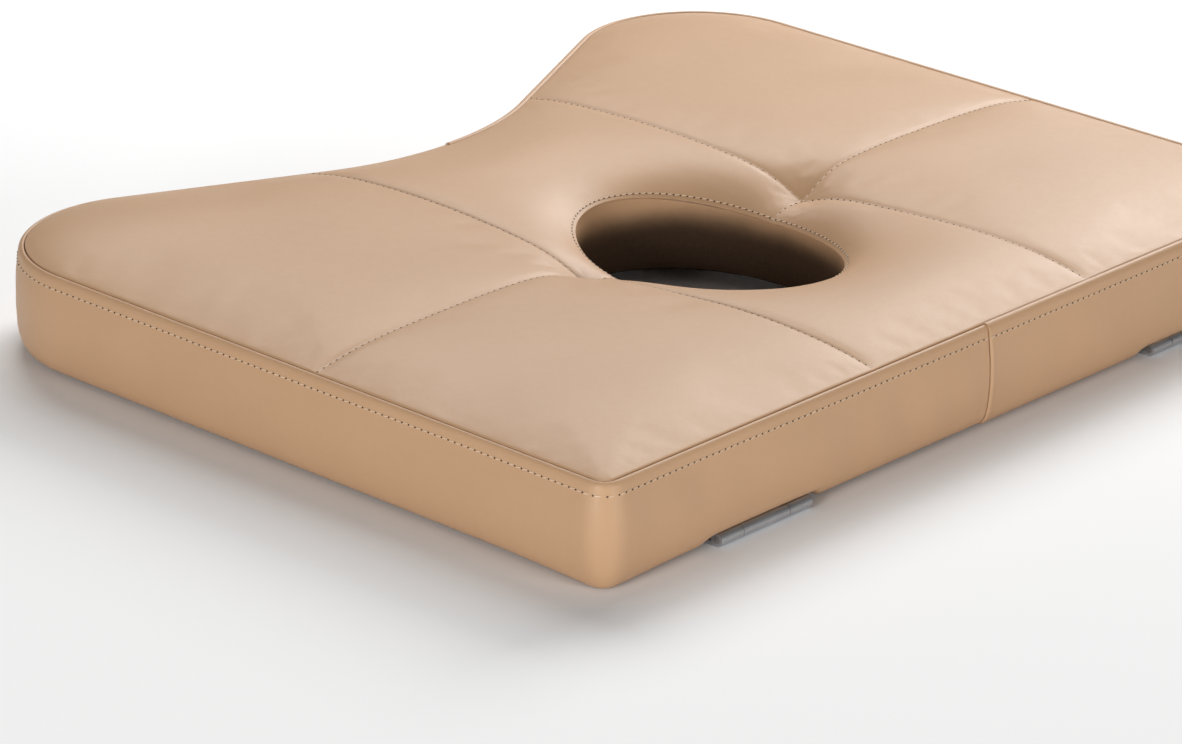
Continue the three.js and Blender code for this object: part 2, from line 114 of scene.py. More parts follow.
class CushionPadding(bpy.types.PropertyGroup):
    """Rise and fall of the padded top about the level of the top seam."""

    crown: length("Crown", "Rise between the stitch lines", 13.6 * MM)
    crown_reach: length("Crown reach", "Distance over which the crown rises", 34 * MM)
    rim: length("Rim", "Rim of the face hole below the top seam, on average", 12.6 * MM)
    rim_sides: length("Rim sides", "How much lower the rim lies beside the hole, and higher at its ends",
                      4.7 * MM)
    rim_front: length("Rim front", "How much higher the rim lies in front", 1.8 * MM)
    rim_reach: length("Rim reach", "Distance over which the dip round the hole fades", 27 * MM)
    groove: length("Groove", "Depth of the quilting", 3.0 * MM)
    pull: length("Pull", "Extra dip where the stitch lines cross", 13.5 * MM)
    pull_reach: length("Pull reach", "Radius of that dip", 25 * MM)
    unevenness: length("Unevenness", "Height of the slow waves in the padding", 0.5 * MM)


class CushionSewing(bpy.types.PropertyGroup):
    """Seams and threads."""

    pitch: length("Pitch", "Length of one stitch", 6 * MM)
    thread: length("Thread", "Radius of the thread", 0.37 * MM)
    row: length("Row", "Stitch row on the side band, below the top seam", 8.5 * MM)
    rim_row: length("Rim row", "Stitch row outside the rim of the hole", 2.2 * MM)
    rim_pitch: length("Rim pitch", "Length of one stitch round the hole", 5 * MM)


class CushionColours(bpy.types.PropertyGroup):
    """Finishes."""

    leather: colour("Leatherette", "Colour of the cover", (0.520, 0.317, 0.178))
    thread: colour("Thread", "Colour of the stitches", (0.74, 0.58, 0.42))
    # Painted shade: near-black colour given to the lower part of the face hole's sleeve, standing in for the
    # shade deep in the hole.
    hole_shade_colour: colour("Lining", "Lower part of the face hole's sleeve", (0.066, 0.038, 0.022))
    floor: colour("Floor", "Colour of the floor", (0.93, 0.93, 0.93))


# ---- Plan curves ---------------------------------------------------------------------------------
class Track:
    """A plan curve sampled finely enough to be read by its length."""

    def __init__(self, points):
        points = np.asarray(points, float)
        step = np.hypot(*np.diff(points, axis=0).T)
        keep = np.concatenate([[True], step > 1e-7])
        self.points = points[keep]
        self.along = np.concatenate([[0], np.cumsum(np.hypot(*np.diff(self.points, axis=0).T))])
        self.length = self.along[-1]

    def at(self, s):
        return np.stack([np.interp(s, self.along, self.points[:, k]) for k in (0, 1)], -1)

    def outward(self, s):
        """Unit normals to the right of travel."""
        ahead = self.at(np.clip(s + MM, 0, self.length)) - self.at(np.clip(s - MM, 0, self.length))
        ahead /= np.linalg.norm(ahead, axis=-1, keepdims=True)
        return np.stack([ahead[..., 1], -ahead[..., 0]], -1)


def arc(x, y, radius, start, end):
    turn = np.linspace(start, end, 8 + int(abs(end - start) * radius / MM))
    return np.stack([x + radius * np.cos(turn), y + radius * np.sin(turn)], -1)


def line(a, b):
    t = np.linspace(0, 1, 2 + int(math.dist(a, b) / MM))[:, None]
    return np.array(a) * (1 - t) + np.array(b) * t


class Outline:
    """Right half of the seam, moved outwards: rear centre, corner, side, ear, notch centre."""

    def __init__(self, plan, out=0.0):
        half = plan.width / 2 + out
        corner = max(plan.corner + out, MM)
        ear = plan.ear + out
        ear_x = plan.width / 2 - plan.ear
        slope = plan.slope
        fall = (ear_x - ear * math.sin(slope), plan.side + ear * math.cos(slope))
        soft_x = plan.soft - out * math.sin(slope)
        soft = (soft_x, fall[1] - (fall[0] - soft_x) * math.tan(slope))
        bottom = soft[1] - (plan.soft - plan.turn) * math.tan(slope) + out * (1 - math.cos(slope))
        turn_x = soft_x - (soft[1] - bottom) / math.tan(slope)
        t = np.linspace(0, 1, 150)[:, None]
        turn, middle = np.array((turn_x, bottom)), np.array((0, bottom))
        notch = (1 - t) ** 2 * np.array(soft) + 2 * t * (1 - t) * turn + t * t * middle
        self.track = Track(np.concatenate([
            line((0, -out), (half - corner, -out)),
            arc(half - corner, corner - out, corner, -math.pi / 2, 0),
            line((half, corner - out), (half, plan.side)),
            arc(ear_x, plan.side, ear, 0, math.pi / 2 + slope),
            line(fall, soft),
            notch,
        ]))
        self.corner_middle = half - corner + corner * math.pi / 4
        self.side_start = half - corner + corner * math.pi / 2
        ear_start = self.side_start + plan.side - corner + out
        self.ear_middle = ear_start + ear * math.pi / 4
        self.ear_end = ear_start + ear * (math.pi / 2 + slope)
        self.fall = fall
        self.slope = slope
        self.corner = corner
        self.out = out

    def at_rear(self, x):
        return x

    def at_side(self, y):
        return self.side_start + y - self.corner + self.out

    def at_slope(self, x):
        return self.ear_end + (self.fall[0] - x) / math.cos(self.slope)


def graded(count, squeeze=0.55):
    """Fractions from 0 to 1 that lie closer together at both ends."""
    u = np.linspace(0, 1, count + 1)
    return u - squeeze * np.sin(2 * math.pi * u) / (2 * math.pi)


def coons(bottom, top, left, right, u, v):
    """Points of a four-sided patch from its edges."""
    u = u[:, None, None]
    v = v[None, :, None]
    ruled = (1 - v) * bottom[:, None] + v * top[:, None] + (1 - u) * left[None] + u * right[None]
    corners = ((1 - u) * (1 - v) * bottom[0] + u * (1 - v) * bottom[-1]
               + (1 - u) * v * top[0] + u * v * top[-1])
    return ruled - corners


class Cells:
    """How finely the plan is divided, in cells."""

    def __init__(self, fine):
        self.side = round(76 * fine)
        self.across = round(76 * fine)
        self.notch = round(60 * fine)
        self.rays = round(44 * fine)


def plan_patches(plan, out, hole_out, cells):
    """The plan as six patches that meet along the stitch lines: arrays of points, from the rear seam."""
    edge = Outline(plan, out)
    track = edge.track
    cross = plan.cross
    quilt = plan.quilt
    side, across = graded(cells.side), graded(cells.across)

    def span(a, b, fractions):
        return track.at(a + (b - a) * fractions)

    def upright(y0, y1, fractions):
        return np.stack([np.full(len(fractions), quilt), y0 + (y1 - y0) * fractions], -1)

    front_y = track.at(edge.at_slope(quilt))[1]
    rear_y = track.at(edge.at_rear(quilt))[1]
    end = track.at(edge.at_side(cross))[0]
    across_line = np.stack([quilt + (end - quilt) * across, np.full(len(across), cross)], -1)
    rear = coons(
        span(edge.at_rear(quilt), edge.corner_middle, across), across_line,
        upright(rear_y, cross, side), span(edge.corner_middle, edge.at_side(cross), side), across, side)
    ear = coons(
        across_line, span(edge.at_slope(quilt), edge.ear_middle, across),
        upright(cross, front_y, side), span(edge.at_side(cross), edge.ear_middle, side), across, side)
    hole = np.array([plan.hole_width / 2 + hole_out, plan.hole_length / 2 + hole_out])
    start = np.array([0, cross])
    from_centre = np.array([0, cross - HOLE_Y]) / hole

    def rays(rim):
        """Straight rays from the hole out to a row of edge points."""
        step = (rim - start) / hole
        a = (step * step).sum(-1)
        b = (step * from_centre).sum(-1)
        reach = (np.sqrt(b * b - a * ((from_centre ** 2).sum() - 1)) - b) / a
        inner = start + (rim - start) * reach[:, None]
        t = graded(cells.rays)[None, :, None]
        return inner[:, None] * (1 - t) + rim[:, None] * t

    mirror = np.array([-1, 1])
    half_way = np.linspace(0, 1, cells.notch // 2 + 1)
    notch = track.at(edge.at_slope(quilt) + (track.length - edge.at_slope(quilt)) * half_way)
    notch = np.concatenate([notch, notch[-2::-1] * mirror])
    base = track.at(quilt * np.linspace(1, 0, len(half_way)))
    base = np.concatenate([base, base[-2::-1] * mirror])
    up = upright(cross, front_y, side)
    down = upright(cross, rear_y, side[::-1] * -1 + 1)
    front_rim = np.concatenate([up[:-1], notch, up[-2::-1] * mirror])
    rear_rim = np.concatenate([down[:-1], base, down[-2::-1] * mirror])
    return [rear, ear, rear * mirror, ear * mirror, rays(front_rim), rays(rear_rim)]


def add_patch(bm, points):
    """A grid laid over an array of plan points."""
    columns, rows = points.shape[0] - 1, points.shape[1] - 1
    made = bmesh.ops.create_grid(bm, x_segments=columns, y_segments=rows, size=1)
    for vertex in made["verts"]:
        i = round((vertex.co.x + 1) / 2 * columns)
        j = round((vertex.co.y + 1) / 2 * rows)
        vertex.co = (points[i, j][0], points[i, j][1] + REAR_Y, 0)


def plan_sheet(plan, out=0.0, hole_out=0.0, fine=1.0):
    """A flat sheet with the face hole, its faces up, in one bmesh."""
    bm = bmesh.new()
    for points in plan_patches(plan, out, hole_out, Cells(fine)):
        add_patch(bm, points)
    bmesh.ops.remove_doubles(bm, verts=bm.verts, dist=0.01 * MM)
    down = [face for face in bm.faces if face.normal.z < 0]
    bmesh.ops.reverse_faces(bm, faces=down)
    return bm


# ---- Heights -------------------------------------------------------------------------------------
def waves(x, y, size, seed):
    """Slow unevenness between about -1 and 1, the same every time."""
    random = np.random.default_rng(seed)
    x, y = np.broadcast_arrays(x, y)
    total = np.zeros(x.shape)
    for turn, phase, scale in zip(random.uniform(0, math.pi, WAVES), random.uniform(0, 2 * math.pi, WAVES),
                                  random.uniform(0.6, 1.8, WAVES)):
        total += np.sin((x * math.cos(turn) + y * math.sin(turn)) * 2 * math.pi / (size * scale) + phase)
    return total / math.sqrt(WAVES)


EDGE_FADE = 12 * MM  # the quilting and the waves fade out this near the edge
RIM_FADE = 16 * MM  # the quilting fades out this near the rim of the hole
PULL_FADE = 10 * MM  # and so does the pull of the crossings
CREASE_WIDTH = 2.4 * MM  # each quilting line is a narrow crease
VALLEY_WIDTH = 12 * MM  # in a wide valley
WAVE_SIZE = 150 * MM
MITRE_REACH = 45 * MM  # the ridge at a rear corner is rounded off over this width
CHUNK = 4000  # points measured together


def edge_distance(x, y, points):
    """Distance to the nearest of a curve's points, in chunks to spare memory."""
    found = np.empty(len(x))
    for start in range(0, len(x), CHUNK):
        part = slice(start, start + CHUNK)
        found[part] = np.sqrt(((x[part, None] - points[None, :, 0]) ** 2
                               + (y[part, None] - points[None, :, 1]) ** 2).min(1))
    return found


def soft_mitre(plan, x, y, edge):
    """Rounds off the ridge where the slopes up from the rear seam and from a side seam meet."""
    apart = np.abs(y - (plan.width / 2 - np.abs(x)))
    reach = np.clip(edge, 0.01 * MM, MITRE_REACH)
    return edge - reach * np.clip(1 - apart / reach, 0, 1) ** 2 / 4


def rim_distance(plan, x, y):
    """Distance outside the rim of the face hole."""
    a, b = plan.hole_width / 2, plan.hole_length / 2
    y = y - HOLE_Y
    ratio = np.maximum(np.hypot(x / a, y / b), 1e-6)
    slope = np.hypot(x / a ** 2, y / b ** 2) / ratio
    return np.maximum((ratio - 1) / np.maximum(slope, 1e-6), 0)


def quilt_distance(plan, x, y):
    """Distance to the nearest stitch line."""
    long_lines = np.abs(np.abs(x) - plan.quilt)
    outside = np.maximum(plan.hole_width / 2 - np.abs(x), 0)
    return np.minimum(long_lines, np.hypot(y - plan.cross, outside))


def rim_depth(plan, padding, x, y):
    """How far the hole's rim lies below the top seam, in the direction of a point."""
    across, ahead = 2 * x / plan.hole_width, 2 * (y - HOLE_Y) / plan.hole_length
    reach = np.maximum(np.hypot(across, ahead), 1e-6)
    beside = (across ** 2 - ahead ** 2) / reach ** 2
    return padding.rim + padding.rim_sides * beside - padding.rim_front * ahead / reach


def top_heights(plan, padding, x, y):
    """Height of the padded top above the level of the top seam; y is measured from the rear seam."""
    edge = soft_mitre(plan, x, y, edge_distance(np.abs(x), y, Outline(plan).track.points[::2]))
    rim = rim_distance(plan, x, y)
    line_off = quilt_distance(plan, x, y)
    crossing = np.hypot(np.abs(x) - plan.quilt, y - plan.cross)
    crown = padding.crown * (1 - np.exp(-edge / padding.crown_reach))
    dip = (padding.crown + rim_depth(plan, padding, x, y)) * np.exp(-rim / padding.rim_reach)
    near_edge = 1 - np.exp(-edge / EDGE_FADE)
    near_rim = 0.35 + 0.65 * (1 - np.exp(-rim / RIM_FADE))
    crease, valley = np.exp(-line_off / CREASE_WIDTH), np.exp(-line_off / VALLEY_WIDTH)
    groove = padding.groove * (0.4 * crease + 0.6 * valley)
    pull = padding.pull * np.exp(-(crossing / padding.pull_reach) ** 1.4)
    uneven = padding.unevenness * waves(x, y, WAVE_SIZE, 5) * near_edge
    return crown - dip - groove * near_edge * near_rim - pull * (1 - np.exp(-rim / PULL_FADE)) + uneven


# ---- Mesh helpers --------------------------------------------------------------------------------
def coordinates(mesh):
    co = np.empty(len(mesh.vertices) * 3)
    mesh.vertices.foreach_get("co", co)
    return co.reshape(-1, 3)


def set_coordinates(mesh, co):
    mesh.vertices.foreach_set("co", np.ascontiguousarray(co, float).ravel())
    mesh.update()


def object_from(bm, name, material, smooth=True):
    """A finished piece: a mesh object at the origin with one material."""
    mesh = bpy.data.meshes.new(name)
    bm.to_mesh(mesh)
    bm.free()
    mesh.materials.append(material)
    if smooth:
        mesh.shade_smooth()
    piece = bpy.data.objects.new(name, mesh)
    bpy.context.scene.collection.objects.link(piece)
    return piece


def settle(piece, slot, *nodes, body=BODY):
    """Rides the piece on its body and stands it for the frame's nodes."""
    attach(piece, body)
    if nodes:
        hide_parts(*nodes)
    return piece


HOLE_BORDER = 130 * MM  # open edges nearer to the hole's centre than this, each way, are the hole's


def border_loops(bm):
    """The sheet's open edges as two lots: round the outside, and round the hole."""
    edges = [edge for edge in bm.edges if edge.is_boundary]

    def is_hole(edge):
        middle = (edge.verts[0].co + edge.verts[1].co) / 2
        return abs(middle.x) < HOLE_BORDER and abs(middle.y - REAR_Y - HOLE_Y) < HOLE_BORDER

    return [e for e in edges if not is_hole(e)], [e for e in edges if is_hole(e)]


def turn_in(bm, edges, steps, outward):
    """Extrudes open edges through steps of (outwards, upwards); outward gives the direction at a point."""
    for across, up in steps:
        made = bmesh.ops.extrude_edge_only(bm, edges=edges)["geom"]
        for vertex in (g for g in made if isinstance(g, bmesh.types.BMVert)):
            away = outward(vertex.co)
            vertex.co += Vector((away[0] * across, away[1] * across, up))
        edges = [g for g in made if isinstance(g, bmesh.types.BMEdge) and g.is_boundary]


class Outward:
    """Direction away from the cushion at a point of its outline."""

    def __init__(self, plan):
        track = Outline(plan).track
        self.points = track.points
        self.normals = track.outward(track.along)

    def __call__(self, co):
        side = 1 if co.x >= 0 else -1
        near = np.argmin((self.points[:, 0] - abs(co.x)) ** 2 + (self.points[:, 1] - co.y + REAR_Y) ** 2)
        return self.normals[near][0] * side, self.normals[near][1]


def hole_outward(plan):
    """Direction from the cushion into the face hole."""
    a, b = plan.hole_width / 2, plan.hole_length / 2

    def direction(co):
        away = Vector((co.x / a ** 2, (co.y - REAR_Y - HOLE_Y) / b ** 2)).normalized()
        return -away.x, -away.y

    return direction


# ---- Shader maths --------------------------------------------------------------------------------
class Wire:
    """A value socket that takes part in Python arithmetic."""

    def __init__(self, finish, socket):
        self.finish = finish
        self.socket = socket

    def _math(self, operation, first, second):
        return self.finish.node("ShaderNodeMath", {"operation": operation}, {0: first, 1: second})

    def __add__(self, other):
        return self._math("ADD", self, other)

    def __radd__(self, other):
        return self._math("ADD", other, self)

    def __sub__(self, other):
        return self._math("SUBTRACT", self, other)

    def __rsub__(self, other):
        return self._math("SUBTRACT", other, self)

    def __mul__(self, other):
        return self._math("MULTIPLY", self, other)

    def __rmul__(self, other):
        return self._math("MULTIPLY", other, self)


class Finish:
    """A material under construction, around one Principled shader."""

    def __init__(self, name, **plain):
        self.material = bpy.data.materials.new(name)
        self.material.use_nodes = True
        self.tree = self.material.node_tree
        self.shader = self.tree.nodes["Principled BSDF"]
        for socket, value in plain.items():
            self.shader.inputs[socket.replace("_", " ")].default_value = value

    def node(self, kind, settings=None, inputs=None, output=0):
        node = self.tree.nodes.new(kind)
        for name, value in (settings or {}).items():
            if name == "stops":
                for stop, (place, shade) in zip(self._stops(node, len(value)), value):
                    stop.position = place
                    stop.color = (*shade, 1) if len(shade) == 3 else shade
            else:
                setattr(node, name, value)
        for key, value in (inputs or {}).items():
            self.feed(node.inputs[key], value)
        return Wire(self, node.outputs[output])

    def _stops(self, node, count):
        stops = node.color_ramp.elements
        while len(stops) < count:
            stops.new(0.5)
        return stops

    def feed(self, socket, value):
        if isinstance(value, Wire):
            self.tree.links.new(value.socket, socket)
        else:
            socket.default_value = value

    def place(self):
        return self.node("ShaderNodeTexCoord", output="Object")

    def noise(self, scale, detail=3.0, roughness=0.5, output="Fac", place=None):
        return self.node("ShaderNodeTexNoise", None, {
            "Vector": place or self.place(), "Scale": scale, "Detail": detail, "Roughness": roughness,
        }, output)

    def cells(self, scale, feature="F1", place=None, output="Distance"):
        return self.node("ShaderNodeTexVoronoi", {"feature": feature}, {
            "Vector": place or self.place(), "Scale": scale}, output)

    def ramp(self, factor, *stops):
        return self.node("ShaderNodeValToRGB", {"stops": stops}, {"Fac": factor}, "Color")

    def blend(self, factor, first, second):
        return self.node("ShaderNodeMix", {"data_type": "RGBA"}, {0: factor, 6: first, 7: second}, 2)

    def bump(self, height, distance, strength=1.0, under=None):
        inputs = {"Height": height, "Distance": distance, "Strength": strength}
        if under is not None:
            inputs["Normal"] = under
        return self.node("ShaderNodeBump", None, inputs, "Normal")

    def set(self, **sockets):
        for name, value in sockets.items():
            self.feed(self.shader.inputs[name.replace("_", " ")], value)
        return self.material


def shade(rgb, factor):
    return (*[min(1.0, c * factor) for c in rgb], 1.0)


HOLE_SHADE_START = 4 * MM  # painted shade in the face hole starts this far above a height
HOLE_SHADE_FADE = 26 * MM  # and is at its darkest this far below it


def leatherette(name, rgb, hole_shade_colour=None, hole_shade_below=0.0):
    """Embossed leatherette: pebbled grain and faint mottling; below a height, painted shade fades it to a
    near-black tone for the depth of the face hole.
    """
    made = Finish(name, Specular_IOR_Level=0.12 if hole_shade_colour else 0.36)
    mottle = made.noise(9, 4, 0.55)
    fine = made.noise(170, 4, 0.6)
    tone = made.blend(mottle, shade(rgb, 0.955), shade(rgb, 1.045))
    tone = made.blend(fine * 0.10, tone, shade(rgb, 0.72))
    pebble = made.cells(900, "SMOOTH_F1")
    crease = made.cells(620, "DISTANCE_TO_EDGE")
    furrow = made.node("ShaderNodeMath", {"operation": "MINIMUM"}, {0: crease * 3.0, 1: 0.35})
    grain = pebble * 0.6 + furrow * -1.0
    # Painted shade: below a height the colour fades over a fuzzy edge to a near-black tone, standing in for
    # the shade deep in the face hole.
    if hole_shade_colour:
        height = made.node("ShaderNodeSeparateXYZ", None, {0: made.place()}, "Z")
        wander = (made.noise(22, 3) - 0.5) * 0.010
        hole_shade_mask = made.node("ShaderNodeMapRange", {"interpolation_type": "SMOOTHSTEP"}, {
            "Value": height + wander,
            "From Min": hole_shade_below - HOLE_SHADE_FADE,
            "From Max": hole_shade_below + HOLE_SHADE_START,
        }, "Result")
        hole_shade_tone = made.blend(made.noise(420, 4, 0.7), shade(hole_shade_colour, 0.7), shade(hole_shade_colour, 1.3))
        tone = made.blend(hole_shade_mask * hole_shade_mask, hole_shade_tone, tone)
    slow = made.bump(made.noise(38, 3), 0.0006, 0.25)
    return made.set(
        Base_Color=tone,
        Roughness=0.40 + fine * 0.12 + mottle * 0.05,
        Normal=made.bump(grain, 0.00012, 0.55, slow),
    )


def thread(name, rgb):
    made = Finish(name, Specular_IOR_Level=0.35, Sheen_Weight=0.3)
    twist = made.noise(900, 2)
    return made.set(
        Base_Color=made.blend(twist, shade(rgb, 0.82), shade(rgb, 1.12)),
        Roughness=0.55 + twist * 0.1,
        Normal=made.bump(twist, 0.0002, 0.5),
    )


# Painted shade: needle holes are the leather's own colour darkened to a tenth to a fifth, standing in for the
# shade inside each puncture.
def needle_hole_shade(name, rgb):
    made = Finish(name, Specular_IOR_Level=0.2)
    return made.set(Base_Color=made.blend(made.noise(500), shade(rgb, 0.10), shade(rgb, 0.2)), Roughness=0.8)


def foam(name, rgb, scale=420):
    made = Finish(name, Specular_IOR_Level=0.1)
    pores = made.cells(scale, "F1")
    return made.set(Base_Color=made.blend(pores, shade(rgb, 0.7), shade(rgb, 1.08)), Roughness=0.95,
                    Normal=made.bump(pores, 0.0015, 0.6))


def fibres(name, rgb):
    made = Finish(name, Specular_IOR_Level=0.15, Sheen_Weight=0.3)
    mat = made.noise(260, 6, 0.75)
    return made.set(Base_Color=made.blend(mat, shade(rgb, 0.75), shade(rgb, 1.15)), Roughness=0.95,
                    Normal=made.bump(mat, 0.001, 0.7))


def plywood(name, rgb):
    made = Finish(name, Specular_IOR_Level=0.3)
    place = made.node("ShaderNodeMapping", None, {0: made.place(), "Scale": (2.0, 18.0, 320.0)}, 0)
    grain = made.noise(6, 8, 0.6, place=place)
    return made.set(
        Base_Color=made.ramp(grain, (0.3, shade(rgb, 0.72)), (0.7, shade(rgb, 1.12))),
        Roughness=0.62,
        Normal=made.bump(grain, 0.0003, 0.4),
    )


def steel(name, rgb, roughness=0.34):
    made = Finish(name, Metallic=1.0)
    haze = made.noise(60, 5, 0.6)
    brush = made.noise(700, 3)
    return made.set(
        Base_Color=made.blend(haze, shade(rgb, 0.86), shade(rgb, 1.08)),
        Roughness=roughness + haze * 0.14,
        Normal=made.bump(brush, 0.00008, 0.5),
    )


def rubber(name, rgb):
    made = Finish(name, Specular_IOR_Level=0.35)
    dust = made.noise(300, 4)
    return made.set(
        Base_Color=made.blend(dust, shade(rgb, 0.8), shade(rgb, 1.9)),
        Roughness=0.72 + dust * 0.15,
        Normal=made.bump(dust, 0.0002, 0.5),
    )


def painted_floor(name, rgb):
    made = Finish(name, Specular_IOR_Level=0.1)
    return made.set(Base_Color=made.blend(made.noise(0.8), shade(rgb, 0.995), shade(rgb, 1.0)), Roughness=0.9)


def record_colour(slot):
    return next(m["base_color"][:3] for m in frame["record"]["materials"] if m["slot"] == slot)


# ---- Cover ---------------------------------------------------------------------------------------
# Turned-in edges: steps of (outwards, upwards).
CREASE = [(0.12 * MM, -0.3 * MM), (0.06 * MM, -0.8 * MM), (0.0, -1.4 * MM), (-0.8 * MM, -0.4 * MM)]
SEAM_GAP = 0.75 * MM  # the top's edge stops this far inside the seam
HELD_REACH = 5 * MM  # the cover is held less and less, away from its seams
FASTENED = 2 * MM  # and altogether this near its edges
RIM_FOLD = [(0.3 * MM, -0.2 * MM), (0.2 * MM, -0.4 * MM), (-0.05 * MM, -0.45 * MM),
            (-0.35 * MM, -0.35 * MM), (-0.9 * MM, -0.5 * MM)]


def build_top_cover(plan, padding, material):
    """The quilted sheet, turned in at the top seam and folded over the rim of the hole."""
    bm = plan_sheet(plan, out=-SEAM_GAP)
    x = np.array([v.co.x for v in bm.verts])
    y = np.array([v.co.y for v in bm.verts])
    z = SEAM_Z + top_heights(plan, padding, x, y - REAR_Y)
    for vertex, height in zip(bm.verts, z):
        vertex.co.z = height
    outside, inside = border_loops(bm)
    turn_in(bm, outside, CREASE, Outward(plan))
    turn_in(bm, inside, RIM_FOLD, hole_outward(plan))
    return object_from(bm, "quilted_top_cover", material)


def let_settle(piece, held, ease, pressure, frames=16, most=2.5 * MM):
    """Lets a held sheet, cut a little too large, push into soft folds; held is 0 to 1 for each vertex."""
    before = coordinates(piece.data)
    group = piece.vertex_groups.new(name="held")
    for step in range(1, 11):
        chosen = np.flatnonzero(np.round(held * 10) == step)
        group.add(chosen.tolist(), step / 10, "REPLACE")
    cloth = piece.modifiers.new("settle", "CLOTH")
    fabric = cloth.settings
    fabric.vertex_group_mass = group.name
    fabric.quality = 8
    fabric.mass = 0.35
    fabric.tension_stiffness = fabric.compression_stiffness = 30
    fabric.shear_stiffness = 12
    fabric.bending_stiffness = 5
    fabric.air_damping = 6
    fabric.shrink_min = -ease
    fabric.use_pressure = True
    fabric.uniform_pressure_force = pressure
    fabric.effector_weights.gravity = 0
    cloth.collision_settings.use_collision = False
    scene = bpy.context.scene
    cloth.point_cache.frame_end = frames
    for step in range(1, frames + 1):
        scene.frame_set(step)
    apply_modifiers(piece)
    scene.frame_set(1)
    moved = coordinates(piece.data) - before
    reach = np.linalg.norm(moved, axis=1, keepdims=True)
    moved *= most / (most + reach)
    moved[held > 0.95] = 0
    piece.vertex_groups.clear()
    set_coordinates(piece.data, before + moved)


class CUSHION_OT_top_cover(bpy.types.Operator):
    """Quilted leatherette top"""

    bl_idname = "cushion.top_cover"
    bl_label = "Top cover"

    def execute(self, context):
        scene = context.scene
        plan, padding, colours = scene.cushion_outline, scene.cushion_padding, scene.cushion_colours
        piece = build_top_cover(plan, padding, leatherette("camel_leatherette", colours.leather))
        x, y, z = coordinates(piece.data).T
        y = y - REAR_Y
        edge = edge_distance(np.abs(x), y, Outline(plan).track.points[::2])
        rim = rim_distance(plan, x, y)
        nearest = np.minimum(np.minimum(edge, rim + 0.5 * MM), quilt_distance(plan, x, y))
        held = np.clip(1.25 - nearest / HELD_REACH, 0, 1)
        held[(edge < FASTENED) | (rim < FASTENED)] = 1
        let_settle(piece, held, ease=0.0006, pressure=0.9)
        finish_sheet(piece)
        settle(piece, "leatherette", "top_cover")
        return {"FINISHED"}


def finish_sheet(piece, thickness=1.1 * MM):
    """Thickens a sheet inwards."""
    shell = piece.modifiers.new("thickness", "SOLIDIFY")
    shell.thickness = thickness
    shell.offset = -1
    apply_modifiers(piece)


def apply_modifiers(piece):
    baked = bpy.data.meshes.new_from_object(piece.evaluated_get(bpy.context.evaluated_depsgraph_get()))
    piece.modifiers.clear()
    piece.data = baked


# Side band: (outwards from the seam, height above the level of the seam), from the crease to the underside.
BAND = [
    (-0.35, -3.4), (-0.15, -1.8), (0.1, -0.7), (0.6, -0.2), (1.6, -0.1), (3.0, -0.9), (4.1, -2.8),
    (4.7, -5.6), (5.0, -8.5), (5.6, -12.5), (6.7, -20), (7.7, -31), (8.1, -43), (7.4, -54), (5.9, -63),
    (3.2, -69.5), (-0.6, -73.2), (-5.0, -73.6), (-9.5, -71.2), (-13.5, -67.6), (-18, -66.0),
    (-25, -65.8), (-33, -65.8),
]


BAND_HEIGHT = 74 * MM
CORNER_SAG = 2.0 * MM  # the band hangs this much lower at the rear corners
CORNER_SAG_REACH = 55 * MM
SLOW_WAVE, SLOW_SIZE = 1.1 * MM, 190 * MM  # the band's slow unevenness, and its length
QUICK_WAVE, QUICK_SIZE = 0.28 * MM, 46 * MM
GATHER_WAVE, GATHER_PITCH = 0.30 * MM, 11 * MM  # gathers where the band turns tightly
GATHER_DROP, GATHER_REACH = 13 * MM, 7 * MM  # below the top seam


def band_profile(rows):
    """The band's section, smoothly through its points."""
    points = np.array(BAND) * MM
    along = np.concatenate([[0], np.cumsum(np.hypot(*np.diff(points, axis=0).T))])
    places = np.interp(np.linspace(0, len(along) - 1, rows + 1), np.arange(len(along)), along)
    smooth = []
    for k in (0, 1):
        slopes = np.gradient(points[:, k], along)
        i = np.clip(np.searchsorted(along, places, side="right") - 1, 0, len(along) - 2)
        h = along[i + 1] - along[i]
        t = (places - along[i]) / h
        smooth.append((2 * t ** 3 - 3 * t ** 2 + 1) * points[i, k]
                      + (t ** 3 - 2 * t ** 2 + t) * h * slopes[i]
                      + (3 * t ** 2 - 2 * t ** 3) * points[i + 1, k]
                      + (t ** 3 - t ** 2) * h * slopes[i + 1])
    return np.stack(smooth, -1)


def hinge_lift(x, y):
    """How far the bottom of the band is tucked up over a hinge, from 0 to 1."""
    middle = (HINGE_LOW.x + HINGE_HIGH.x) / 2
    half = (HINGE_HIGH.x - HINGE_LOW.x) / 2
    beside = np.clip((np.abs(np.abs(x) - middle) - half - 1.5 * MM) / (14 * MM), 0, 1)
    ahead = np.clip((y - HINGE_HIGH.y - 1.5 * MM) / (14 * MM), 0, 1)
    away = np.maximum(beside, ahead)
    return 1 - away * away * (3 - 2 * away)


